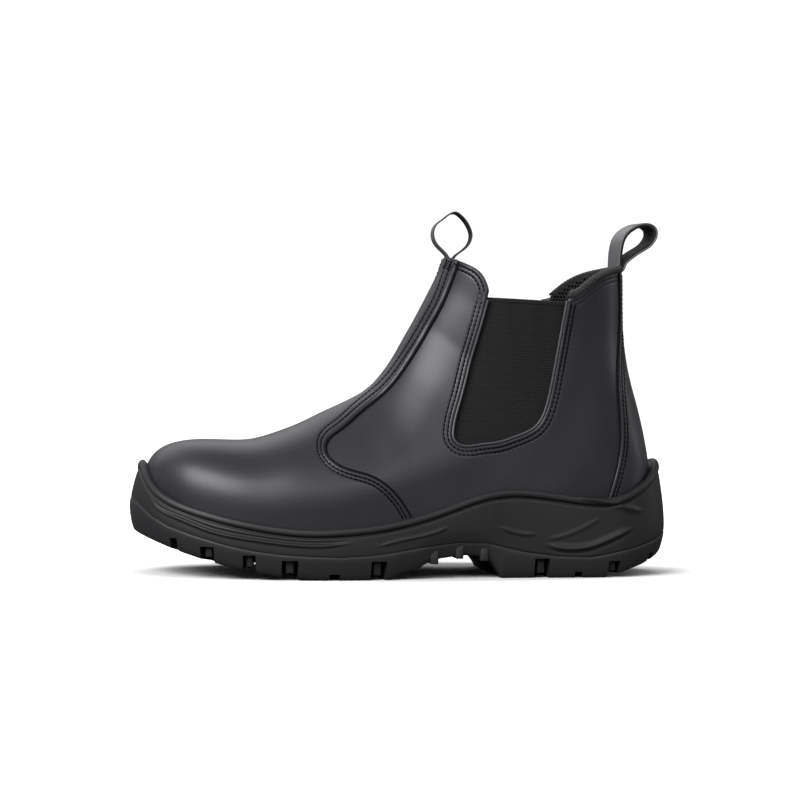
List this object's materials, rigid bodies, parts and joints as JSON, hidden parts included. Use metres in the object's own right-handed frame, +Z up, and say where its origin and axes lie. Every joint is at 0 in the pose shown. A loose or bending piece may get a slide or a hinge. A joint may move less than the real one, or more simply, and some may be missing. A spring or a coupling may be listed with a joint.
{
  "type": "side gore work boot",
  "caption": "Slip-on ankle work boot with a hollow leather upper, elastic side gores, two pull loops and a lugged two-layer sole.",
  "frame": {"origin": "middle of the boot's box at the floor it stands on", "axes": "+Z up, toe towards -X, heel towards +X, the boot's outer side towards -Y"},
  "size_m": [0.3064, 0.1112, 0.2056],
  "materials": {
    "leather": "satin smooth black",
    "loop_leather": "satin smooth black",
    "elastic": "ribbed black elastic",
    "textile": "black woven edge binding",
    "footbed": "matt black cloth over board",
    "midsole_rubber": "moulded satin black",
    "outsole_rubber": "moulded matt black"
  },
  "bodies": {
    "root": {"upper": "leather", "front_pull_loop": "loop_leather", "back_pull_loop": "loop_leather", "gore_lateral": "elastic", "gore_medial": "elastic", "collar_binding": "textile", "insole": "footbed", "midsole": "midsole_rubber", "outsole": "outsole_rubber"}
  },
  "joints": []
}
